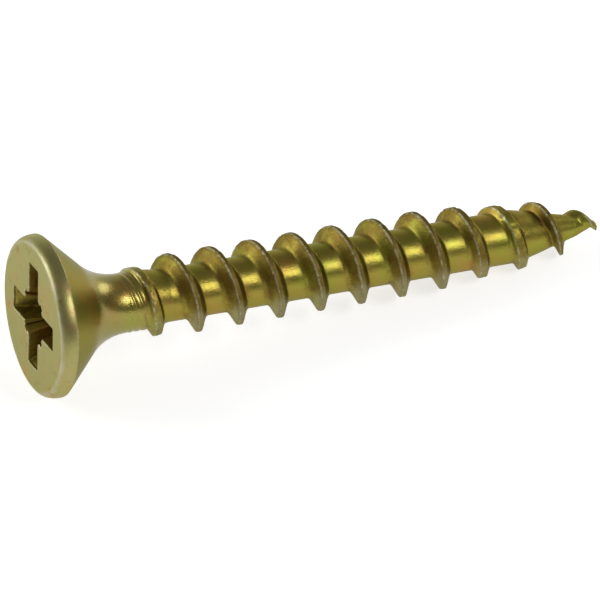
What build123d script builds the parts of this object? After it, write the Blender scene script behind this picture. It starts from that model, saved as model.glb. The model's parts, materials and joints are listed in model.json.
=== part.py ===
"""Chipboard screw: flat countersunk head with a type Z cross recess, smooth neck, and one coarse
right-hand wood thread that runs out to the point.

The screw is drawn along its own axis, from the head face at 0 towards the point. "Up" is the side
that faces the sky once the screw lies at rest, on the rim of its head and the crests near its point.
"""
from build123d import *
import math
import os

# Overall, mm
overall_length = 25.55
thread_diameter = 3.5
core_diameter = 2.26
neck_diameter = 2.56

# Countersunk head, mm and degrees
head_diameter = 7.0
rim_height = 0.60
face_edge_radius = 0.40
face_edge_arc = 60.0
rim_chamfer = 0.06
countersink_angle = 90.0
neck_fillet_radius = 2.9

# Wood thread, mm and degrees; its height changes at places measured back from the tip
thread_pitch = 1.85
crest_width = 0.20
flank_angle = 27.0
crest_at_top = 6.52
thread_start = 4.15
thread_start_height = 0.10
thread_full_from = 6.30
neck_ends_at = 4.90
core_starts_at = 5.90
taper_length = 7.95
shoulder_length = 1.85
shoulder_diameter = 2.36
thread_stops_short = 0.03
thread_end_diameter = 0.84

# Gimlet point, mm
point_length = 3.75
point_end_diameter = 0.36

# Type Z cross recess, number 2, mm and degrees
recess_length = 4.50
recess_width = 1.00
recess_depth = 2.00
recess_end_slope = 26.5
recess_side_slope = 3.0
recess_core_diameter = 2.30
recess_core_floor_diameter = 1.30
recess_cone_depth = 0.45
recess_rib_length = 2.70
recess_rib_width = 0.36
recess_rib_depth = 1.60
recess_turn = -12.5

# How the thread and the recess are drawn
strips_per_turn = 4
stations_per_turn = 12
buried_share = 0.80
cut_margin = 0.20


def along_stations(along, stations):
    """Radius at a distance from the head face, on straight lines between (distance, diameter)."""
    for (low, low_diameter), (high, high_diameter) in zip(stations, stations[1:]):
        if along <= high:
            break
    share = (along - low) / (high - low)
    return (low_diameter + (high_diameter - low_diameter) * share) / 2


def core_radius(along):
    """Radius of the threaded core and its point, at a distance from the head face."""
    point_from = overall_length - point_length
    if along <= point_from:
        return core_diameter / 2
    return along_stations(
        along, [(point_from, core_diameter), (overall_length, point_end_diameter)]
    )


def crest_stations():
    """The crest climbs out of the neck, runs full, tapers, and drops off at the point."""
    return [
        (thread_start, neck_diameter + 2 * thread_start_height),
        (thread_full_from, thread_diameter),
        (overall_length - taper_length, thread_diameter),
        (overall_length - shoulder_length, shoulder_diameter),
        (overall_length - thread_stops_short, thread_end_diameter),
    ]


def blank():
    """The turned body without thread or recess: head, neck, core and point, as one revolve."""
    head = head_diameter / 2
    neck = neck_diameter / 2
    half = math.radians(countersink_angle / 2)
    arc = math.radians(face_edge_arc)
    face = head - face_edge_radius * (1 - math.cos(arc))
    edge_middle = (
        head - face_edge_radius * (1 - math.cos(arc / 2)),
        face_edge_radius * (math.sin(arc) - math.sin(arc / 2)),
    )
    edge_end = (head, face_edge_radius * math.sin(arc))
    blend_radius = neck + neck_fillet_radius * (1 - math.cos(half))
    blend_from = rim_height + (head - blend_radius) / math.tan(half)
    blend_to = blend_from + neck_fillet_radius * math.sin(half)
    blend_middle = (
        neck + neck_fillet_radius * (1 - math.cos(half / 2)),
        blend_to - neck_fillet_radius * math.sin(half / 2),
    )
    outline = Polyline((0, 0), (face, 0))
    outline += ThreePointArc((face, 0), edge_middle, edge_end)
    outline += Polyline(
        edge_end,
        (head, rim_height - rim_chamfer),
        (head - rim_chamfer * math.sin(half), rim_height + rim_chamfer * math.cos(half)),
        (blend_radius, blend_from),
    )
    outline += ThreePointArc((blend_radius, blend_from), blend_middle, (neck, blend_to))
    outline += Polyline(
        (neck, blend_to),
        (neck, neck_ends_at),
        (core_radius(core_starts_at), core_starts_at),
        (core_diameter / 2, overall_length - point_length),
        (point_end_diameter / 2, overall_length),
        (0, overall_length),
        (0, 0),
    )
    return revolve(Plane.XZ * make_face(outline), Axis.Z)


def thread_point(side, at_crest, along):
    """Corner of the ridge's section where its middle lies at a distance from the head face."""
    crest = along_stations(along, crest_stations())
    radius = crest if at_crest else buried_share * core_radius(along)
    half_width = crest_width / 2 + (crest - radius) * math.tan(math.radians(flank_angle))
    turn = 2 * math.pi * (along - crest_at_top) / thread_pitch
    return Vector(radius * math.cos(turn), radius * math.sin(turn), along + side * half_width)


def thread_edge(side, at_crest, low, high):
    """One corner of the ridge as a smooth curve, with true directions where strips meet."""
    count = max(2, math.ceil((high - low) / thread_pitch * stations_per_turn))
    points = [
        thread_point(side, at_crest, low + (high - low) * step / count)
        for step in range(count + 1)
    ]
    near = (high - low) / count / 1000
    leaves = thread_point(side, at_crest, low + near) - points[0]
    arrives = points[-1] - thread_point(side, at_crest, high - near)
    return Edge.make_spline(
        points,
        tangents=[leaves.normalized(), arrives.normalized()],
        parameters=[step / count for step in range(count + 1)],
    )


def strip_bounds():
    """Where the ridge's strips begin and end: short runs between the changes in its height."""
    changes = [along for along, diameter in crest_stations()]
    bounds = changes[:1]
    for low, high in zip(changes, changes[1:]):
        count = math.ceil((high - low) / thread_pitch * strips_per_turn)
        bounds += [low + (high - low) * step / count for step in range(1, count + 1)]
    return bounds


def thread():
    """The thread's ridge: flanks, crest and a buried root strip, closed by a flat at each end."""
    corners = [(-1, False), (-1, True), (1, True), (1, False)]
    bounds = strip_bounds()
    faces = []
    for low, high in zip(bounds, bounds[1:]):
        edges = [thread_edge(side, at_crest, low, high) for side, at_crest in corners]
        for edge, following in zip(edges, edges[1:] + edges[:1]):
            faces.append(Face.make_surface_from_curves(edge, following))
    for along in (bounds[0], bounds[-1]):
        ring = [thread_point(side, at_crest, along) for side, at_crest in corners]
        faces.append(Face(Wire.make_polygon(ring, close=True)))
    return Solid(Shell(faces))


def tapered_slot(length, width, depth, end_slope, side_slope):
    """A straight slot in the head face, narrower and shorter at its floor."""
    def opening(along):
        shorter = 2 * along * math.tan(math.radians(end_slope))
        narrower = 2 * along * math.tan(math.radians(side_slope))
        return Plane.XY.offset(along) * Rectangle(length - shorter, width - narrower)

    return loft([opening(-cut_margin), opening(depth)], ruled=True)


def recess():
    """Type Z cross: two tapered slots, a round middle with a cone below, and four corner ribs."""
    slot = tapered_slot(
        recess_length, recess_width, recess_depth, recess_end_slope, recess_side_slope
    )
    rib = tapered_slot(
        recess_rib_length, recess_rib_width, recess_rib_depth, recess_end_slope / 2, 0
    )
    wall = (recess_core_diameter - recess_core_floor_diameter) / 2 / recess_depth
    middle = Polygon(
        (0, -cut_margin),
        (recess_core_diameter / 2 + wall * cut_margin, -cut_margin),
        (recess_core_floor_diameter / 2, recess_depth),
        (0, recess_depth + recess_cone_depth),
        align=None,
    )
    cutter = revolve(Plane.XZ * middle, Axis.Z)
    for quarter in range(2):
        cutter += Rot(Z=90 * quarter) * slot
        cutter += Rot(Z=45 + 90 * quarter) * rib
    return Rot(Z=recess_turn) * cutter


def resting_tilt():
    """Angle between the screw's axis and the ground when rim and thread both touch it."""
    rim_radius = head_diameter / 2
    rim_at = rim_height - rim_chamfer
    tilts = []
    along = crest_at_top + thread_pitch / 2
    while along < overall_length:
        rise = rim_radius - along_stations(along, crest_stations())
        tilts.append(math.degrees(math.atan2(rise, along - rim_at)))
        along += thread_pitch
    return min(tilts)


def chipboard_screw():
    """The whole screw, lying at rest: head towards -X, point towards +X and slightly down."""
    upright = blank() + thread() - recess()
    tilt = math.radians(resting_tilt())
    lying = Plane(
        origin=(0, 0, 0),
        x_dir=(math.sin(tilt), 0, math.cos(tilt)),
        z_dir=(math.cos(tilt), 0, -math.sin(tilt)),
    )
    screw = lying.location * upright
    box = screw.bounding_box()
    return Pos(-box.center().X, -box.center().Y, -box.min.Z) * screw


os.makedirs("parts", exist_ok=True)
screw = chipboard_screw()
print("solids", len(screw.solids()), "tilt", round(resting_tilt(), 3))
export_step(screw, "parts/chipboard_screw.step")
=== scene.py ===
import json
import math

import bmesh
import bpy
from mathutils import Matrix, Vector


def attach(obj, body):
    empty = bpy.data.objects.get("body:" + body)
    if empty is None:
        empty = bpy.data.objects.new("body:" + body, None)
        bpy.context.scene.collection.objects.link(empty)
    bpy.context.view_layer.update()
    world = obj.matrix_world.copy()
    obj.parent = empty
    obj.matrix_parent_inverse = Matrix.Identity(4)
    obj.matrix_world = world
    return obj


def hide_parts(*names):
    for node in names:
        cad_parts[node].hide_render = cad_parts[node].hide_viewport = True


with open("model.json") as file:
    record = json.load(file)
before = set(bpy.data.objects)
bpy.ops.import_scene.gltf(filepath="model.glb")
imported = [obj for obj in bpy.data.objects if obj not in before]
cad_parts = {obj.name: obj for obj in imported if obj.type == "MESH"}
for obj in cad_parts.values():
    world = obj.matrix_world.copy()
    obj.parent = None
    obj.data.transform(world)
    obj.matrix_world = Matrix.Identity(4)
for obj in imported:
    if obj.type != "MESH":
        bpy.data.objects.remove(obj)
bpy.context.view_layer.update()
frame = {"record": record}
print("stage: frame loaded")

mm = 0.001  # shapes below are drawn in millimetres, along the screw's own axis
columns = 120  # vertices round the screw, shared by head and shank

# Where the screw lies: the recess mount sits at the middle of the head face
mounts = {mount["name"]: mount for mount in frame["record"]["mounts"]}
faceMiddle = Vector(mounts["drive_recess"]["pos_m"])
alongAxis = -Vector(mounts["drive_recess"]["axis"]).normalized()
upAxis = Vector((-alongAxis.z, 0, alongAxis.x))
sideAxis = alongAxis.cross(upAxis)
placeOnAxis = Matrix.Translation(faceMiddle) @ Matrix(
    [[alongAxis[i], upAxis[i], sideAxis[i]] for i in range(3)]
).to_4x4() @ Matrix.Scale(mm, 4)


# Node helpers, used by the shank and by the materials

def addNode(tree, kind, inputs=None, **settings):
    node = tree.nodes.new(kind)
    for name, value in settings.items():
        setattr(node, name, value)
    for name, value in (inputs or {}).items():
        feed(tree, node.inputs[name], value)
    return node


def feed(tree, socket, value):
    if isinstance(value, bpy.types.NodeSocket):
        tree.links.new(value, socket)
    else:
        socket.default_value = value


def mathOf(tree, operation, *values):
    node = addNode(tree, "ShaderNodeMath", operation=operation)
    for socket, value in zip(node.inputs, values):
        feed(tree, socket, value)
    return node.outputs[0]


def vectorMath(tree, operation, first, second):
    node = addNode(tree, "ShaderNodeVectorMath", {0: first, 1: second}, operation=operation)
    return node.outputs["Value" if operation in ("DISTANCE", "DOT_PRODUCT") else "Vector"]


def ramp(tree, value, fromLow, fromHigh, toLow, toHigh, smooth=False):
    node = addNode(tree, "ShaderNodeMapRange", clamp=True)
    node.interpolation_type = "SMOOTHSTEP" if smooth else "LINEAR"
    for socket, given in zip(node.inputs, (value, fromLow, fromHigh, toLow, toHigh)):
        feed(tree, socket, given)
    return node.outputs[0]


def stationLine(tree, value, stations):
    total = stations[0][1]
    for (low, before), (high, after) in zip(stations, stations[1:]):
        total = mathOf(tree, "ADD", ramp(tree, value, low, high, 0.0, after - before), total)
    return total


def noiseOf(tree, vector, scale, detail=2.0, w=None, roughness=0.5):
    node = addNode(tree, "ShaderNodeTexNoise", {
        "Scale": scale, "Detail": detail, "Roughness": roughness})
    if w is not None:
        node.noise_dimensions = "4D"
        feed(tree, node.inputs["W"], w)
    feed(tree, node.inputs["Vector"], vector)
    return node.outputs[0]


# Shank: neck, wood thread and point as one rule along the helix

shank = {
    "sizes": {  # inputs of the node tree
        "Pitch": 1.85,
        "Crest At Top": 6.52,
        "Flank Slope": math.tan(math.radians(29.0)),
        "Root Rounding": 0.26,
        "Crest Rounding": 0.04,
        "Neck Ring": 3.70,
        "Tip": 25.54,
        "Tip Rounding": 0.25,
        "Roll Line Height": 0.040,
        "Roll Lines Per Turn": 6.0,
        "Nick Depth": 0.05,
        "Nick Scale": 3.4,
        "Nicks From": 0.52,
        "Nicks Full": 0.72,
        "Waviness": 0.014,
        "Wave Scale": 1.1,
    },
    "rows": {  # along the helix; crest and flank reach to these shares of half a turn's rows
        "perTurn": 50, "turns": 14, "turnsBeforeTop": 3.0, "crestShare": 0.16, "flankShare": 0.54,
        "leastHeight": 0.35, "pastFlank": 0.14,
    },
    "stations": {  # distance from the head face, then a radius, a width or a factor there
        "core": [
            (3.70, 1.2931), (3.80, 1.2849), (3.90, 1.2806), (3.96, 1.28), (4.90, 1.28),
            (5.90, 1.13), (21.80, 1.13), (22.8, 0.90), (23.6, 0.69), (24.6, 0.45), (25.2, 0.23),
            (25.45, 0.11), (25.58, 0.06)],
        "crest": [
            (4.05, 1.20), (4.25, 1.39), (5.2, 1.57), (6.30, 1.75), (17.60, 1.75), (19.3, 1.65),
            (20.2, 1.51), (21.1, 1.42), (22.03, 1.40), (22.25, 1.335), (23.0, 1.27), (23.9, 1.12),
            (24.35, 0.86), (24.7, 0.70), (24.9, 0.61), (25.1, 0.53), (25.3, 0.46), (25.5, 0.38),
            (25.8, 0.32)],
        "crestHalf": [
            (4.3, 0.15), (5.45, 0.16), (6.1, 0.09), (19.0, 0.09), (20.2, 0.17), (22.5, 0.18),
            (23.5, 0.07), (25.2, 0.05), (25.7, 0.14)],
        "lean": [
            (4.3, -0.15), (5.4, 0.04), (9.0, 0.03), (19.3, 0.02), (20.6, 0.04), (22.5, 0.04),
            (23.9, 0.05), (25.3, 0.0)],
        "steepness": [
            (22.0, 1.0), (23.5, 0.62), (24.1, 0.70), (24.7, 2.8), (24.95, 2.8), (25.5, 1.0)],
        "softness": [
            (4.3, 1.2), (5.6, 1.0), (22.5, 0.8), (23.6, 0.6), (24.6, 1.6), (25.4, 1.9)],
    },
    "rootLimit": 0.55,  # the roundings' most, as shares of the ridge's height
    "crestLimit": 0.3,
    "rollLines": {  # they end along a slanting line at the first crest
        "sharpness": 0.35, "level": 0.7, "start": (3.85, 4.05), "end": 4.92, "slant": 0.50,
        "slantTurn": 49.0, "endFade": 0.16,
    },
    "notch": {"place": (21.08, 1.40, 0.22), "radius": 0.17, "depth": 0.16},
    "calmTo": 4.3,  # small waviness starts on the neck, so that its first ring fits the head
    "wear": {
        "edge": 0.9, "edgeWidth": 0.085, "farEdgeShare": 0.6, "crest": 0.12,
        "crestShares": (0.72, 0.97), "heights": (0.02, 0.15),
    },
    # Brown on the flanks, the crest and the foot of each flight: partly real stain, partly painted
    # shade between the flights
    "stainAndShade": {
        "crestExtra": 0.6, "foot": 0.95, "footWidth": 0.38, "farFootShare": 0.5,
        "rises": (0.01, 0.10), "heights": (0.1, 0.5),
    },
    "marksFollow": (4.2, 5.2),  # marks run round the neck, and with the thread from here on
}


def makeShankTree():
    tree = bpy.data.node_groups.new("shankTree", "GeometryNodeTree")
    tree.interface.new_socket("Geometry", in_out="INPUT", socket_type="NodeSocketGeometry")
    for name, value in shank["sizes"].items():
        socket = tree.interface.new_socket(name, in_out="INPUT", socket_type="NodeSocketFloat")
        socket.default_value = value
    tree.interface.new_socket("Material", in_out="INPUT", socket_type="NodeSocketMaterial")
    tree.interface.new_socket("Geometry", in_out="OUTPUT", socket_type="NodeSocketGeometry")
    given = addNode(tree, "NodeGroupInput").outputs

    def m(operation, *values):
        return mathOf(tree, operation, *values)

    def at(value, name):
        return stationLine(tree, value, shank["stations"][name])

    # Grid: one column per vertex round the screw, one row per station along the helix
    spread = shank["rows"]
    perTurn = float(spread["perTurn"])
    rows = spread["perTurn"] * spread["turns"] + 1
    grid = addNode(tree, "GeometryNodeMeshGrid", {
        "Size X": 1.0, "Size Y": 1.0, "Vertices X": columns + 1, "Vertices Y": rows})
    place = addNode(tree, "ShaderNodeSeparateXYZ", {
        "Vector": addNode(tree, "GeometryNodeInputPosition").outputs[0]}).outputs
    turn = m("ADD", place["X"], 0.5)
    row = m("ROUND", m("MULTIPLY", m("ADD", place["Y"], 0.5), float(rows - 1)))
    wholeTurn = m("FLOOR", m("DIVIDE", m("ADD", row, 0.5), perTurn))
    share = m("SUBTRACT", m("DIVIDE", row, perTurn), wholeTurn)

    # Where this turn's crest is, and how high it stands there
    turnsAlong = m("ADD", wholeTurn, turn)
    firstTurn = m("SUBTRACT", given["Crest At Top"],
                  m("MULTIPLY", given["Pitch"], spread["turnsBeforeTop"]))
    crestAt = m("ADD", firstTurn, m("MULTIPLY", given["Pitch"], turnsAlong))
    height = m("MAXIMUM", m("SUBTRACT", at(crestAt, "crest"), at(crestAt, "core")), 0.0)

    # Rows crowd together at the crest and the flanks, and spread over the core between
    signed = m("MULTIPLY", m("SUBTRACT", share, 0.5), 2.0)
    away = m("ABSOLUTE", signed)
    side = m("SIGN", signed)
    crestHalf, lean, softness = (at(crestAt, name) for name in ("crestHalf", "lean", "softness"))
    slope = m("MULTIPLY", given["Flank Slope"], at(crestAt, "steepness"))
    flankWide = m("ADD", m("MULTIPLY", m("MAXIMUM", height, spread["leastHeight"]), slope),
                  spread["pastFlank"])
    halfPitch = m("MULTIPLY", given["Pitch"], 0.5)
    rest = m("SUBTRACT", m("SUBTRACT", halfPitch, crestHalf), flankWide)
    crestShare, flankShare = spread["crestShare"], spread["flankShare"]
    offset = m("ADD", m("ADD", ramp(tree, away, 0.0, crestShare, 0.0, crestHalf),
                        ramp(tree, away, crestShare, flankShare, 0.0, flankWide)),
               ramp(tree, away, flankShare, 1.0, 0.0, rest))
    leaning = m("MULTIPLY", lean, ramp(tree, away, flankShare, 1.0, 1.0, 0.0))  # 0 between turns
    freeAlong = m("SUBTRACT", m("ADD", crestAt, m("MULTIPLY", side, offset)), leaning)

    # Rows before the neck ring and past the tip fold onto them
    along = m("MINIMUM", m("MAXIMUM", freeAlong, given["Neck Ring"]), given["Tip"])
    past = m("MAXIMUM", m("SUBTRACT", freeAlong, given["Tip"]), 0.0)
    across = m("SUBTRACT", along, crestAt)
    awayMm = m("ABSOLUTE", m("ADD", across, lean))

    # Section of the ridge: straight flanks, hollow roots, slightly rounded crest
    def fitting(rounding, share):  # a low ridge has room for less rounding
        return m("MINIMUM", rounding, m("ADD", m("MULTIPLY", height, share), 0.001))

    rise = m("SUBTRACT", height, m("DIVIDE", m("SUBTRACT", awayMm, crestHalf), slope))
    rootRounding = fitting(m("MULTIPLY", given["Root Rounding"], softness), shank["rootLimit"])
    rooted = m("SMOOTH_MAX", rise, 0.0, rootRounding)
    crestRounding = fitting(given["Crest Rounding"], shank["crestLimit"])
    ridge = m("SMOOTH_MIN", rooted, height, crestRounding)
    ridge = m("MAXIMUM", ridge, 0.0)
    wear, stainAndShade = shank["wear"], shank["stainAndShade"]
    heightShare = m("DIVIDE", ridge, m("MAXIMUM", height, 0.05))
    stands = ramp(tree, height, *wear["heights"], 0.0, 1.0)
    crestMask = ramp(tree, heightShare, *wear["crestShares"], 0.0, 1.0, smooth=True)
    crestMask = m("MULTIPLY", crestMask, stands)

    # Fine lines that the rolling dies leave on the neck, in step with the thread
    rolled = shank["rollLines"]
    angle = m("MULTIPLY", turn, math.tau)
    step = m("MULTIPLY", m("DIVIDE", across, given["Pitch"]), given["Roll Lines Per Turn"])
    wave = m("ADD", m("MULTIPLY", m("COSINE", m("MULTIPLY", step, math.tau)), 0.5), 0.5)
    wave = m("POWER", wave, rolled["sharpness"])
    slanting = m("SINE", m("SUBTRACT", angle, math.radians(rolled["slantTurn"])))
    linesEnd = m("ADD", m("MULTIPLY", slanting, rolled["slant"]), rolled["end"])
    fade = m("MULTIPLY", ramp(tree, along, *rolled["start"], 0.0, 1.0, smooth=True),
             ramp(tree, m("SUBTRACT", along, linesEnd), -rolled["endFade"], 0.0, 1.0, 0.0,
                  smooth=True))
    lines = m("MULTIPLY", m("SUBTRACT", wave, rolled["level"]), given["Roll Line Height"])
    lines = m("MULTIPLY", lines, fade)

    # Place round the axis before wear, so that noise has no seam
    def roundAxis(radius):
        return addNode(tree, "ShaderNodeCombineXYZ", {
            "X": along, "Y": m("MULTIPLY", radius, m("COSINE", angle)),
            "Z": m("MULTIPLY", radius, m("SINE", angle))}).outputs[0]

    plainRadius = m("ADD", at(along, "core"), ridge)
    spot = roundAxis(plainRadius)
    nicks = ramp(tree, noiseOf(tree, spot, given["Nick Scale"], 3.0),
                 given["Nicks From"], given["Nicks Full"], 0.0, 1.0)
    nick = m("MULTIPLY", m("MULTIPLY", nicks, crestMask), given["Nick Depth"])
    notch = shank["notch"]
    toNotch = vectorMath(tree, "DISTANCE", spot, notch["place"])
    nick = m("ADD", nick,
             ramp(tree, toNotch, 0.0, notch["radius"], notch["depth"], 0.0, smooth=True))
    wobble = m("MULTIPLY", m("SUBTRACT", noiseOf(tree, spot, given["Wave Scale"]), 0.5),
               given["Waviness"])
    wobble = m("MULTIPLY", wobble, ramp(tree, along, given["Neck Ring"], shank["calmTo"], 0.0, 1.0))
    radius = m("ADD", m("SUBTRACT", m("ADD", plainRadius, lines), nick), wobble)
    closing = m("SQRT", ramp(tree, past, 0.0, given["Tip Rounding"], 1.0, 0.0))
    closing = m("MULTIPLY", closing, m("GREATER_THAN", closing, 0.5))  # under half, a flat end
    radius = m("MULTIPLY", radius, closing)

    # Masks for the finish. The side towards the head is the more worn, and the foot of its flank
    # gets more stain and painted shade
    edgeGap = m("ABSOLUTE", m("SUBTRACT", awayMm, crestHalf))
    edgeMask = m("MULTIPLY",
                 ramp(tree, edgeGap, 0.0, wear["edgeWidth"], wear["edge"], 0.0, smooth=True),
                 ramp(tree, side, -1.0, 1.0, 1.0, wear["farEdgeShare"]))
    wearMask = m("MAXIMUM", edgeMask, m("MULTIPLY", crestMask, wear["crest"]))
    wearMask = m("MULTIPLY", wearMask, stands)
    # Flank, crest and foot mask: stain, with painted shade in the valleys between the flights
    standsTall = ramp(tree, height, *stainAndShade["heights"], 0.0, 1.0)
    flankMask = ramp(tree, ridge, *stainAndShade["rises"], 0.0, 1.0, smooth=True)
    flankMask = m("MULTIPLY", flankMask, standsTall)
    crestExtra = m("ADD", m("MULTIPLY", crestMask, stainAndShade["crestExtra"]), 1.0)
    flankMask = m("MULTIPLY", flankMask, crestExtra)
    fromFoot = m("SUBTRACT", m("SUBTRACT", awayMm, crestHalf), m("MULTIPLY", height, slope))
    footMask = m("MULTIPLY",
                 ramp(tree, fromFoot, 0.0, stainAndShade["footWidth"], stainAndShade["foot"], 0.0, smooth=True),
                 ramp(tree, side, -1.0, 1.0, 1.0, stainAndShade["farFootShare"]))
    stainAndShadeMask = m("MAXIMUM", flankMask, m("MULTIPLY", footMask, standsTall))

    # Place across the thread, for marks that follow it; on the neck it is the place along
    followed = ramp(tree, along, *shank["marksFollow"], 0.0, 1.0, smooth=True)
    markAcross = m("ADD", m("MULTIPLY", m("SUBTRACT", 1.0, followed), along),
                   m("MULTIPLY", followed, across))
    mapped = addNode(tree, "ShaderNodeCombineXYZ", {"X": turnsAlong, "Y": markAcross}).outputs[0]

    # Stored while the grid is flat, because bending it moves the positions they come from
    shape = grid.outputs[0]
    for name, value, kind, domain in (("edgeWear", wearMask, "FLOAT", "POINT"),
                                      ("rootShade", stainAndShadeMask, "FLOAT", "POINT"),
                                      ("threadMap", mapped, "FLOAT2", "CORNER")):
        stored = addNode(tree, "GeometryNodeStoreNamedAttribute", {
            "Geometry": shape, "Name": name}, data_type=kind, domain=domain)
        feed(tree, stored.inputs["Value"], value)
        shape = stored.outputs[0]
    for kind, inputs in (("GeometryNodeSetPosition", {"Position": roundAxis(radius)}),
                         ("GeometryNodeMergeByDistance", {"Distance": 0.001}),
                         ("GeometryNodeSetShadeSmooth", {}),
                         ("GeometryNodeRealizeInstances", {}),
                         ("GeometryNodeSetMaterial", {"Material": given["Material"]})):
        shape = addNode(tree, kind, {"Geometry": shape, **inputs}).outputs[0]
    out = addNode(tree, "NodeGroupOutput")
    tree.links.new(shape, out.inputs["Geometry"])
    return tree


def plainMesh(tree, values, name):
    carrier = bpy.data.objects.new(name, bpy.data.meshes.new(name))
    bpy.context.scene.collection.objects.link(carrier)
    modifier = carrier.modifiers.new("nodes", "NODES")
    modifier.node_group = tree
    for item in tree.interface.items_tree:
        if item.in_out == "INPUT" and item.name in values:
            modifier[item.identifier] = values[item.name]
    shown = carrier.evaluated_get(bpy.context.evaluated_depsgraph_get())
    mesh = bpy.data.meshes.new_from_object(shown)
    bpy.data.objects.remove(carrier)
    return mesh


# Head: face, rim, countersink and recess, lofted loop by loop

head = {
    "radius": 3.50,
    "rimHeight": 0.70,
    "edgeReach": 0.30,  # the rounded edge of the face, inwards and along
    "edgeRun": 0.58,
    "edgeArc": 80.0,
    "rimRounding": 0.06,
    "rimBend": 0.6,  # how much of that rounding the bend keeps
    "halfAngle": 45.0,
    "neckRadius": 1.28,
    "filletRadius": 2.5,
    "faceLoops": (0.07, 0.17, 0.30, 0.44, 0.58, 0.72, 0.85, 0.95, 0.985),
    "steps": {"edge": 12, "rim": 4, "cone": 12, "fillet": 15},
    "edgeWear": 0.85,
    "edgeWearFrom": 0.8,  # share of the way from the recess to the edge
    "edgeWearRun": 0.36,
    "rimWear": 0.70,
    "rimWearRun": 0.14,
}
recess = {
    "turn": -12.5,
    "wingLength": 2.25,
    "wingStretch": (0.14, 0.0, 0.0, 0.0),  # one wing is longer
    "wingHalf": 0.53,
    "endSlope": math.tan(math.radians(26.5)),
    "sideSlope": math.tan(math.radians(3.0)),
    "coreRadius": 1.15,
    "floorRadius": 0.65,
    "depth": 2.00,
    "coneDepth": 0.45,
    "ribLength": 1.29,
    "ribHalf": 0.15,
    "ribSlope": math.tan(math.radians(13.25)),
    "ribDepth": 1.30,
    "cornerRounding": 0.09,
    "mouthRounding": 0.045,
    "mouthWear": 0.65,
    "steepDepth": 0.10,
    "coneLoops": (0.3, 0.65),  # shares of the floor's radius
    "belowRibs": 1.80,
    "wallDepths": (1.15, 1.0, 0.80, 0.60, 0.45, 0.30, 0.20, 0.12),
    "sharpAngle": 38.0,
}


# From the wing's middle to the corner between wings: 16 points, so that a loop has 120
def recessOctant(depth, ribs=True, wings=True, grow=0.0, stretch=0.0):
    r = recess
    core = r["coreRadius"] - (r["coreRadius"] - r["floorRadius"]) * depth / r["depth"] + grow
    half = r["wingHalf"] - depth * r["sideSlope"] + grow
    end = r["wingLength"] + stretch - max(0.0, depth - r["steepDepth"]) * r["endSlope"] + grow
    corner = r["cornerRounding"] + grow * 0.5
    joinAngle = math.asin(half / core)
    middle = math.radians(45)

    def onCore(angle):
        return core * math.cos(angle), core * math.sin(angle)

    if wings:
        join = math.sqrt(core ** 2 - half ** 2)
        points = [(end, half * share) for share in (0.0, 0.35, 0.65)]
        for angle in (0, 30, 60, 90):
            a = math.radians(angle)
            points.append((end - corner * (1 - math.cos(a)), half - corner * (1 - math.sin(a))))
        points += [(join + (end - corner - join) * share, half) for share in (0.66, 0.33, 0.10)]
        points.append((join * 0.995, half * 1.01))
    else:
        points = [onCore(joinAngle * i / 10) for i in range(11)]
    if ribs:
        ribHalf = r["ribHalf"] + grow
        reach = r["ribLength"] - depth * r["ribSlope"] + grow
        meet = middle - math.asin(ribHalf / core)
        points += [onCore(joinAngle + (meet - joinAngle) * 0.4), onCore(meet)]
        for out, across in ((reach - 0.05, ribHalf), (reach, ribHalf * 0.75), (reach, 0.0)):
            points.append((out * math.cos(middle) + across * math.sin(middle),
                           out * math.sin(middle) - across * math.cos(middle)))
    else:
        span = middle - joinAngle
        points += [onCore(joinAngle + span * i / 5) for i in range(1, 6)]
    return points


def recessLoop(depth, **options):
    loop = []
    for quarterTurn in range(4):
        a = math.radians(90 * quarterTurn + recess["turn"])
        here, following = (
            recessOctant(depth, stretch=recess["wingStretch"][(quarterTurn + i) % 4], **options)
            for i in (0, 1))
        quarter = here[:-1] + [(y, x) for x, y in reversed(following[1:])]  # wing to wing
        loop += [(x * math.cos(a) - y * math.sin(a), x * math.sin(a) + y * math.cos(a))
                 for x, y in quarter]
    return [(depth, y, z) for y, z in loop]


def headProfile():
    h, steps = head, head["steps"]
    reachIn, run, fillet = h["edgeReach"], h["edgeRun"], h["filletRadius"]
    arc, half = math.radians(h["edgeArc"]), math.radians(h["halfAngle"])
    faceRadius = h["radius"] - reachIn * (1 - math.cos(arc))
    profile = []
    for i in range(steps["edge"] + 1):  # rounded edge of the face
        a = arc * i / steps["edge"]
        profile.append((run * (math.sin(arc) - math.sin(arc - a)),
                        h["radius"] - reachIn * (1 - math.cos(arc - a))))
    rimEnd = h["rimHeight"] - h["rimRounding"]
    profile.append(((run * math.sin(arc) + rimEnd) * 0.5, h["radius"]))
    reach = h["rimRounding"] / math.tan(half / 2) * h["rimBend"]
    for i in range(steps["rim"] + 1):  # rim into the countersink
        a = half * i / steps["rim"]
        profile.append((rimEnd + reach * math.sin(a), h["radius"] - reach * (1 - math.cos(a))))
    blendRadius = h["neckRadius"] + fillet * (1 - math.cos(half))
    blendFrom = h["rimHeight"] + (h["radius"] - blendRadius) / math.tan(half)
    startAlong, startRadius = profile[-1]
    for i in range(1, steps["cone"] + 1):  # countersink
        profile.append((startAlong + (blendFrom - startAlong) * i / steps["cone"],
                        startRadius + (blendRadius - startRadius) * i / steps["cone"]))
    blendTo = blendFrom + fillet * math.sin(half)
    last = math.asin((blendTo - shank["sizes"]["Neck Ring"]) / fillet)
    for i in range(1, steps["fillet"] + 1):  # fillet, as far as the ring where the shank starts
        a = half + (last - half) * i / steps["fillet"]
        profile.append((blendTo - fillet * math.sin(a),
                        h["neckRadius"] + fillet * (1 - math.cos(a))))
    return faceRadius, profile


def between(inner, outer, share):
    return [tuple(a + (b - a) * share for a, b in zip(p, q)) for p, q in zip(inner, outer)]


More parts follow.
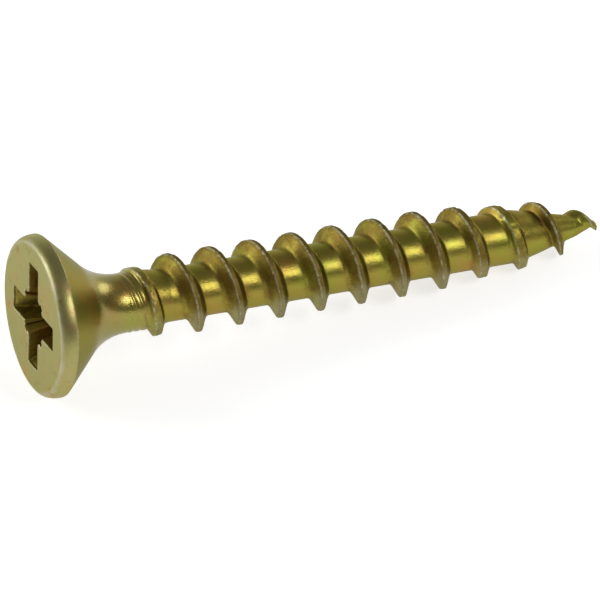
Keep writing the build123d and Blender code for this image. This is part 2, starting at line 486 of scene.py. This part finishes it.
# The shank's first ring of vertices, in order round the axis
def findNeckRing(bm):
    ring = [None] * columns
    for vert in bm.verts:
        if vert.co.x < shank["sizes"]["Neck Ring"] + 0.003:
            column = round(math.atan2(vert.co.z, vert.co.y) / math.tau * columns) % columns
            if ring[column] is None or vert.co.x < ring[column].co.x:
                ring[column] = vert
    return ring


def addHead(bm, materialIndex):
    h, r = head, recess
    wear = bm.verts.layers.float["edgeWear"]
    shade = bm.verts.layers.float["rootShade"]
    threadMap = bm.loops.layers.uv["threadMap"]
    ring = findNeckRing(bm)
    startColumn = round(r["turn"] / 360 * columns)
    loops = []

    def addLoop(kind, points, worn=0.0, shaded=0.0):
        made = []
        for point in points:
            vert = bm.verts.new(point)
            vert[wear], vert[shade] = worn, shaded
            made.append(vert)
        loops.append((made, kind))

    def circle(along, radius):
        angles = [math.tau * (i + startColumn) / columns for i in range(columns)]
        return [(along, radius * math.cos(a), radius * math.sin(a)) for a in angles]

    # From the bottom of the recess up to its mouth
    # The shaded values paint shade into the recess: full at its floor and bottom, less towards the
    # mouth
    bottom = r["depth"] + r["coneDepth"]
    for share in r["coneLoops"]:
        along = r["depth"] + r["coneDepth"] * (1 - share)
        addLoop("recess", circle(along, r["floorRadius"] * share), shaded=1.0)
    bare = recessLoop(r["depth"], ribs=False, wings=False)
    winged = recessLoop(r["depth"], ribs=False)
    for points in (bare, between(bare, winged, 0.5), winged):
        addLoop("recess", points, shaded=1.0)
    addLoop("recess", recessLoop(r["belowRibs"], ribs=False), shaded=0.9)
    addLoop("recess", recessLoop(r["ribDepth"], ribs=False), shaded=0.8)
    for depth in (r["ribDepth"], *r["wallDepths"], r["steepDepth"]):
        addLoop("recess", recessLoop(depth), shaded=0.35 + 0.65 * depth / r["depth"])
    curve = r["mouthRounding"]
    for i in range(6):  # the mouth's edge turns over in steps of 18 degrees
        a = math.radians(90 - 18 * i)
        points = recessLoop(curve * (1 - math.cos(a)), grow=curve * (1 - math.sin(a)))
        addLoop("recess" if i < 3 else "head", points, worn=r["mouthWear"])

    # Face, rim and countersink down to the neck
    mouth = [vert.co.copy() for vert in loops[-1][0]]
    faceRadius, profile = headProfile()
    outer = circle(0.0, faceRadius)
    for share in h["faceLoops"]:
        nearEdge = max(0.0, share - h["edgeWearFrom"]) / (1 - h["edgeWearFrom"])
        addLoop("head", between(mouth, outer, share), worn=h["edgeWear"] * nearEdge)
    for along, radius in profile[:-1]:
        edge = h["edgeWear"] * (1 - along / h["edgeWearRun"])
        rim = h["rimWear"] * (1 - abs(along - h["rimHeight"]) / h["rimWearRun"])
        kind = "head" if along < h["rimHeight"] + 0.05 else "cone"  # just past the rim
        addLoop(kind, circle(along, radius), worn=max(rim, edge, 0.0))
    loops.append(([ring[(i + startColumn) % columns] for i in range(columns)], "cone"))

    apex = bm.verts.new((bottom, 0, 0))
    apex[shade] = 1.0
    first = loops[0][0]
    faces = [(bm.faces.new((apex, first[i], first[(i + 1) % columns])), "recess")
             for i in range(columns)]
    for (innerLoop, _), (outerLoop, kind) in zip(loops, loops[1:]):
        for i in range(columns):
            j = (i + 1) % columns
            corners = (innerLoop[i], outerLoop[i], outerLoop[j], innerLoop[j])
            faces.append((bm.faces.new(corners), kind))
    for face, kind in faces:
        face.material_index = materialIndex[kind]
        for corner in face.loops:
            corner[threadMap].uv = (0.0, corner.vert.co.x)
    # Where a rib or wing ends, loops touch: their shared points become one
    inside = dict.fromkeys(vert for face, kind in faces if kind == "recess" for vert in face.verts)
    bmesh.ops.remove_doubles(bm, verts=list(inside), dist=0.0004)
    return [face for face in bm.faces if face.material_index == materialIndex["recess"]]


def makeScrew(materials):
    shankMesh = plainMesh(makeShankTree(), {"Material": materials["shank"]}, "shankShape")
    print("stage: shank shaped,", len(shankMesh.vertices), "vertices")
    materialIndex = {name: index for index, name in enumerate(materials)}
    bm = bmesh.new()
    bm.from_mesh(shankMesh)
    if "edgeWear" not in bm.verts.layers.float.keys():
        raise RuntimeError("the shank lost its masks")
    for face in bm.faces:
        face.material_index = materialIndex["shank"]
    recessFaces = addHead(bm, materialIndex)
    for face in bm.faces:
        face.smooth = True
    bm.transform(placeOnAxis)
    bmesh.ops.recalc_face_normals(bm, faces=bm.faces)
    for face in recessFaces:
        for edge in face.edges:
            sharp = edge.calc_face_angle(0.0) > math.radians(recess["sharpAngle"])
            if len(edge.link_faces) == 2 and sharp:
                edge.smooth = False
    openEdges = sum(1 for edge in bm.edges if len(edge.link_faces) != 2)
    mesh = bpy.data.meshes.new("chipboard_screw_body")
    bm.to_mesh(mesh)
    bm.free()
    for material in materials.values():
        mesh.materials.append(material)
    screw = bpy.data.objects.new("chipboard_screw_body", mesh)
    bpy.context.scene.collection.objects.link(screw)
    mesh.calc_loop_triangles()
    print("stage: screw meshed,", len(mesh.loop_triangles), "triangles,", openEdges, "open edges")
    return screw


# Finish: yellow passivated zinc, one shader group for every part of the screw

zinc = {
    "colours": {
        "Gold": (0.320, 0.258, 0.046, 1.0),
        "Green Gold": (0.282, 0.270, 0.040, 1.0),
        "Orange Gold": (0.385, 0.238, 0.052, 1.0),
        "Stain And Shade": (0.150, 0.088, 0.020, 1.0),
        "Pale Zinc And Painted Light": (0.43, 0.42, 0.25, 1.0),
        "Bare Zinc": (0.70, 0.69, 0.60, 1.0),
    },
    "amounts": {
        "Tint Scale": 0.45,
        "Tint Amount": 1.0,
        "Stain And Shade Amount": 0.7,
        "Edge Amount": 0.8,
        "Mark Scale": 7.0,
        "Mark Amount": 0.25,
        "Grain Scale": 11.0,
        "Grain Amount": 1.04,
        "Mottle": 2.2,
        "Speck Scale": 4.5,
        "Speck Spread": 1.8,
        "Roughness Middle": 0.30,
        "Roughness Spread": 0.14,
        "Worn Roughness": 0.15,
        "Stained Roughness": 0.14,
        "Low Side Painted Reflection": 0.45,
        "Fleck Scale": 7.5,
        "Fleck Amount": 0.40,
        "Tip Stain": 0.0,
    },
    "markNoise": 0.35,  # scale along the marks; the rest of the noise takes its scale from above
    "patchFiner": 3.4,  # patches against the broad tint
    "patchInTint": 0.35,
    "grainInMottle": 0.5,
    "patchInRoughness": 0.8,
    "shadeMaskInStain": 0.75,
    "toGreen": (0.36, 0.48),
    "toOrange": (0.52, 0.64),
    "toStainAndShade": (0.25, 1.1),
    "toPale": (0.38, 1.05),
    "toFleck": (0.52, 0.62),
    "fleckWear": (0.35, 0.75),
    "lowDirection": (-0.057, -0.819, -0.571),  # down and aside, where a painted reflection of the floor lightens the flights
    "lowReach": (1.0, 1.5),
    "flightsFrom": (4.6, 5.6),
    "tipStainFrom": (20.0, 23.5),
    "filmFrom": (1.8, 2.6),  # a thin clear film on the neck, which is smoother
    "filmTo": (4.3, 5.2),
    "filmWeight": 0.55,
    "filmRoughness": 0.16,
    "neckSmoother": 0.04,
}


def makeZincGroup():
    tree = bpy.data.node_groups.new("yellowZinc", "ShaderNodeTree")
    for kind, values in (("NodeSocketColor", "colours"), ("NodeSocketFloat", "amounts")):
        for name, value in zinc[values].items():
            socket = tree.interface.new_socket(name, in_out="INPUT", socket_type=kind)
            socket.default_value = value
    given = addNode(tree, "NodeGroupInput").outputs

    def m(operation, *values):
        return mathOf(tree, operation, *values)

    def softStep(value, low, high):
        return ramp(tree, value, low, high, 0.0, 1.0, smooth=True)

    def mix(share, low, high):
        node = addNode(tree, "ShaderNodeMix", data_type="RGBA")
        for index, value in ((0, share), (6, low), (7, high)):
            feed(tree, node.inputs[index], value)
        return node.outputs[2]

    place = addNode(tree, "ShaderNodeVectorMath", {  # in millimetres
        0: addNode(tree, "ShaderNodeTexCoord").outputs["Object"], "Scale": 1 / mm},
        operation="SCALE").outputs[0]
    fromFace = vectorMath(tree, "SUBTRACT", place, faceMiddle / mm)
    along = vectorMath(tree, "DOT_PRODUCT", fromFace, alongAxis)
    lowSide = vectorMath(tree, "DOT_PRODUCT", fromFace, zinc["lowDirection"])
    mapped = addNode(tree, "ShaderNodeUVMap", uv_map="threadMap")
    across = addNode(tree, "ShaderNodeSeparateXYZ", {0: mapped.outputs[0]}).outputs["Y"]
    wear = addNode(tree, "ShaderNodeAttribute", attribute_name="edgeWear").outputs["Fac"]
    rootShade = addNode(tree, "ShaderNodeAttribute", attribute_name="rootShade").outputs["Fac"]

    # Marks that run round the screw with the thread, fine grain, and broad patches
    acrossMarks = m("MULTIPLY", across, given["Mark Scale"])
    marks = noiseOf(tree, place, zinc["markNoise"], 3.0, acrossMarks, 0.6)
    grain = noiseOf(tree, place, given["Grain Scale"], 3.0, roughness=0.6)
    broad = noiseOf(tree, place, given["Tint Scale"])
    patch = noiseOf(tree, place, m("MULTIPLY", given["Tint Scale"], zinc["patchFiner"]), 3.0)
    grainAway, patchAway = m("SUBTRACT", grain, 0.5), m("SUBTRACT", patch, 0.5)

    # Plating, from green to orange gold
    tint = m("ADD", m("MULTIPLY", broad, 1 - zinc["patchInTint"]),
             m("MULTIPLY", patch, zinc["patchInTint"]))
    toGreen = ramp(tree, tint, *zinc["toGreen"], 1.0, 0.0, smooth=True)
    toGreen = m("MULTIPLY", toGreen, given["Tint Amount"])
    toOrange = m("MULTIPLY", softStep(tint, *zinc["toOrange"]), given["Tint Amount"])
    colour = mix(toGreen, given["Gold"], given["Green Gold"])
    colour = mix(toOrange, colour, given["Orange Gold"])

    # Brown from the rootShade mask, partly stain and partly painted shade in the roots, on the
    # flanks and deep in the recess; random stain patches, and stain towards the tip
    mottle = m("ADD", patchAway, m("MULTIPLY", grainAway, zinc["grainInMottle"]))
    stainAndPaintedShade = m("ADD", m("MULTIPLY", rootShade, zinc["shadeMaskInStain"]),
             m("MULTIPLY", mottle, given["Mottle"]))
    stainAndPaintedShade = m("ADD", stainAndPaintedShade, m("MULTIPLY", softStep(along, *zinc["tipStainFrom"]), given["Tip Stain"]))
    stainAndPaintedShade = m("MULTIPLY", softStep(stainAndPaintedShade, *zinc["toStainAndShade"]), given["Stain And Shade Amount"])
    colour = mix(stainAndPaintedShade, colour, given["Stain And Shade"])

    # Plating rubbed thin on edges, with bare flecks; the low side of the flights gets the same pale
    # colour as a painted reflection of the floor
    speck = noiseOf(tree, place, given["Speck Scale"], roughness=0.7)
    rubbed = m("ADD", wear, m("MULTIPLY", m("SUBTRACT", speck, 0.5), given["Speck Spread"]))
    rubbed = m("MULTIPLY", softStep(rubbed, *zinc["toPale"]), given["Edge Amount"])
    paintedLowReflection = m("MULTIPLY", ramp(tree, lowSide, *zinc["lowReach"], 0.0, given["Low Side Painted Reflection"],
                              smooth=True),
             ramp(tree, along, *zinc["flightsFrom"], 0.0, 1.0))
    colour = mix(m("MAXIMUM", rubbed, paintedLowReflection), colour, given["Pale Zinc And Painted Light"])
    fleck = noiseOf(tree, place, given["Fleck Scale"], 3.0, roughness=0.7)
    fleck = m("MULTIPLY", softStep(fleck, *zinc["toFleck"]),
              ramp(tree, wear, *zinc["fleckWear"], 0.0, 1.0))
    colour = mix(m("MULTIPLY", fleck, given["Fleck Amount"]), colour, given["Bare Zinc"])

    # Roughness, bump and film
    neck = m("MULTIPLY", softStep(along, *zinc["filmFrom"]),
             ramp(tree, along, *zinc["filmTo"], 1.0, 0.0, smooth=True))
    uneven = m("ADD", grainAway, m("MULTIPLY", patchAway, zinc["patchInRoughness"]))
    rough = m("ADD", given["Roughness Middle"], m("MULTIPLY", uneven, given["Roughness Spread"]))
    rough = m("ADD", rough, m("ADD", m("MULTIPLY", wear, given["Worn Roughness"]),
                              m("MULTIPLY", rootShade, given["Stained Roughness"])))
    rough = m("SUBTRACT", rough, m("MULTIPLY", neck, zinc["neckSmoother"]))
    height = m("ADD", m("MULTIPLY", marks, given["Mark Amount"]),
               m("MULTIPLY", grain, given["Grain Amount"]))
    film = m("MULTIPLY", neck, zinc["filmWeight"])

    made = (("Colour", colour, "NodeSocketColor"), ("Roughness", rough, "NodeSocketFloat"),
            ("Height", height, "NodeSocketFloat"), ("Film", film, "NodeSocketFloat"))
    for name, value, kind in made:
        tree.interface.new_socket(name, in_out="OUTPUT", socket_type=kind)
    out = addNode(tree, "NodeGroupOutput")
    for name, value, kind in made:
        tree.links.new(value, out.inputs[name])
    return tree


# Each part's own finish: bump height in mm, and how the plating reflects at a glancing angle
finishes = {
    "shank": {
        "bumpHeight": 0.010,
        "edgeTint": (0.60, 0.61, 0.53, 1.0),
        "values": {
            "Roughness Middle": 0.33,
            "Tip Stain": 0.28,
        },
    },
    "cone": {
        "bumpHeight": 0.005,
        "edgeTint": (0.55, 0.58, 0.54, 1.0),
        "values": {
            "Gold": (0.310, 0.248, 0.052, 1.0),
            "Green Gold": (0.290, 0.262, 0.056, 1.0),
            "Roughness Middle": 0.33,
            "Mottle": 1.8,
            "Fleck Amount": 0.0,
        },
    },
    "head": {
        "bumpHeight": 0.007,
        "edgeTint": (0.70, 0.72, 0.60, 1.0),
        "values": {
            "Gold": (0.368, 0.332, 0.125, 1.0),
            "Green Gold": (0.346, 0.332, 0.120, 1.0),
            "Orange Gold": (0.415, 0.312, 0.118, 1.0),
            # A paler pale zinc on the head's worn face edge and rim, partly real wear and partly a
            # painted highlight there
            "Pale Zinc And Painted Light": (0.50, 0.475, 0.34, 1.0),
            "Roughness Middle": 0.36,
            "Mark Amount": 0.0,
            "Stain And Shade Amount": 0.6,
            "Mottle": 2.8,
            "Tint Scale": 0.7,
            "Speck Scale": 1.6,
            "Speck Spread": 0.9,
            "Fleck Amount": 0.0,
        },
    },
    "recess": {
        "bumpHeight": 0.006,
        "edgeTint": (0.60, 0.60, 0.48, 1.0),
        "values": {
            # A darker brown at full amount: painted shade inside the recess
            "Stain And Shade": (0.125, 0.074, 0.022, 1.0),
            "Roughness Middle": 0.38,
            "Stain And Shade Amount": 1.0,
            "Mark Amount": 0.0,
            "Fleck Amount": 0.8,
        },
    },
}


def makeFinish(name, group):
    finish = finishes[name]
    material = bpy.data.materials.new("yellowZinc" + name.capitalize())
    material.use_nodes = True
    tree = material.node_tree
    surface = tree.nodes["Principled BSDF"]
    surface.inputs["Metallic"].default_value = 1.0
    surface.inputs["Specular Tint"].default_value = finish["edgeTint"]
    surface.inputs["Coat Roughness"].default_value = zinc["filmRoughness"]
    plating = addNode(tree, "ShaderNodeGroup", node_tree=group)
    for socket, value in finish["values"].items():
        plating.inputs[socket].default_value = value
    bump = addNode(tree, "ShaderNodeBump", {
        "Distance": finish["bumpHeight"] * mm, "Strength": 1.0, "Height": plating.outputs["Height"],
    })
    tree.links.new(plating.outputs["Colour"], surface.inputs["Base Color"])
    tree.links.new(plating.outputs["Roughness"], surface.inputs["Roughness"])
    tree.links.new(plating.outputs["Film"], surface.inputs["Coat Weight"])
    tree.links.new(bump.outputs[0], surface.inputs["Normal"])
    return material


# Studio: pale floor, three soft lamps, a plain grey room and the camera

studio = {
    "floorHalf": 3.0,
    "floorColour": 0.62,
    "floorLift": 0.70,
    "lampDistance": 1.6,
    "roomBack": 0.75,
    "roomFront": 0.14,
    "roomTurn": (-0.10, 0.70),  # from the front wall to the back one
    "roomTop": 0.24,
    "roomRise": (0.15, 0.70),  # from the walls to the ceiling
}
lamps = {  # direction from the screw, angular width in degrees, brightness
    "keyLamp": ((0.44, -0.61, 0.67), 26.0, 5.8),
    "rightLamp": ((0.88, 0.36, 0.32), 24.0, 2.4),
    "leftLamp": ((-0.77, 0.44, 0.46), 36.0, 4.1),
}
lens = {
    "azimuth": -21.32,
    "elevation": 40.44,
    "distance": 0.944,
    "aimRight": 0.011219,
    "aimUp": 0.000757,
    "focal": 1349.0,
}


def makeFloor():
    half = studio["floorHalf"]
    corners = [(-half, -half, 0), (half, -half, 0), (half, half, 0), (-half, half, 0)]
    mesh = bpy.data.meshes.new("floor")
    mesh.from_pydata(corners, [], [(0, 1, 2, 3)])
    floor = bpy.data.objects.new("floor", mesh)
    bpy.context.scene.collection.objects.link(floor)
    material = bpy.data.materials.new("paleFloor")
    material.use_nodes = True
    tree = material.node_tree
    surface = tree.nodes["Principled BSDF"]
    grey = studio["floorColour"]
    surface.inputs["Base Color"].default_value = (grey, grey, grey, 1.0)
    surface.inputs["Roughness"].default_value = 0.9
    surface.inputs["Emission Color"].default_value = (1.0, 1.0, 1.0, 1.0)
    rays = addNode(tree, "ShaderNodeLightPath").outputs
    seen = mathOf(tree, "MAXIMUM", rays["Is Camera Ray"], rays["Is Glossy Ray"])
    seen = mathOf(tree, "MAXIMUM", seen, rays["Is Transmission Ray"])
    lift = mathOf(tree, "MULTIPLY", seen, studio["floorLift"])
    tree.links.new(lift, surface.inputs["Emission Strength"])
    mesh.materials.append(material)


def makeRoom():
    world = bpy.data.worlds.new("room")
    bpy.context.scene.world = world
    world.use_nodes = True
    tree = world.node_tree
    direction = addNode(tree, "ShaderNodeTexCoord").outputs["Generated"]
    facing = addNode(tree, "ShaderNodeSeparateXYZ", {0: direction}).outputs
    wall = ramp(tree, facing["Y"], *studio["roomTurn"], studio["roomFront"], studio["roomBack"],
                smooth=True)
    low = ramp(tree, facing["Z"], *studio["roomRise"], 1.0, 0.0, smooth=True)
    top = ramp(tree, facing["Z"], *studio["roomRise"], 0.0, studio["roomTop"], smooth=True)
    level = mathOf(tree, "ADD", mathOf(tree, "MULTIPLY", wall, low), top)
    back = tree.nodes["Background"]
    tree.links.new(level, back.inputs["Strength"])
    back.inputs["Color"].default_value = (1.0, 1.0, 1.0, 1.0)


def makeLamps():
    for name, (direction, width, brightness) in lamps.items():
        toLamp = Vector(direction).normalized()
        size = 2 * studio["lampDistance"] * math.tan(math.radians(width / 2))
        area = math.pi * size ** 2 / 4
        data = bpy.data.lights.new(name, "AREA")
        data.shape = "DISK"
        data.size = size
        data.energy = brightness * math.pi * area
        lamp = bpy.data.objects.new(name, data)
        lamp.location = toLamp * studio["lampDistance"]
        lamp.rotation_mode = "QUATERNION"
        lamp.rotation_quaternion = toLamp.to_track_quat("Z", "Y")
        lamp.visible_camera = False
        bpy.context.scene.collection.objects.link(lamp)


def makeCamera():
    a, e = math.radians(lens["azimuth"]), math.radians(lens["elevation"])
    back = Vector((math.sin(a) * math.cos(e), -math.cos(a) * math.cos(e), math.sin(e)))
    right = Vector((math.cos(a), math.sin(a), 0))
    up = back.cross(right)
    data = bpy.data.cameras.new("camera")
    data.lens = lens["focal"]
    data.sensor_width = 36.0
    data.clip_start, data.clip_end = 0.01, 20.0
    camera = bpy.data.objects.new("camera", data)
    aim = right * lens["aimRight"] + up * lens["aimUp"]
    camera.location = faceMiddle + aim + back * lens["distance"]
    camera.rotation_mode = "QUATERNION"
    camera.rotation_quaternion = (-back).to_track_quat("-Z", "Y")
    bpy.context.scene.collection.objects.link(camera)
    bpy.context.scene.camera = camera


makeCamera()
zincGroup = makeZincGroup()
materials = {name: makeFinish(name, zincGroup) for name in finishes}
print("stage: finishes made")
screw = makeScrew(materials)
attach(screw, "root")
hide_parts("chipboard_screw")
makeFloor()
makeRoom()
makeLamps()
bpy.context.scene.view_settings.view_transform = "Standard"
print("stage: studio set")
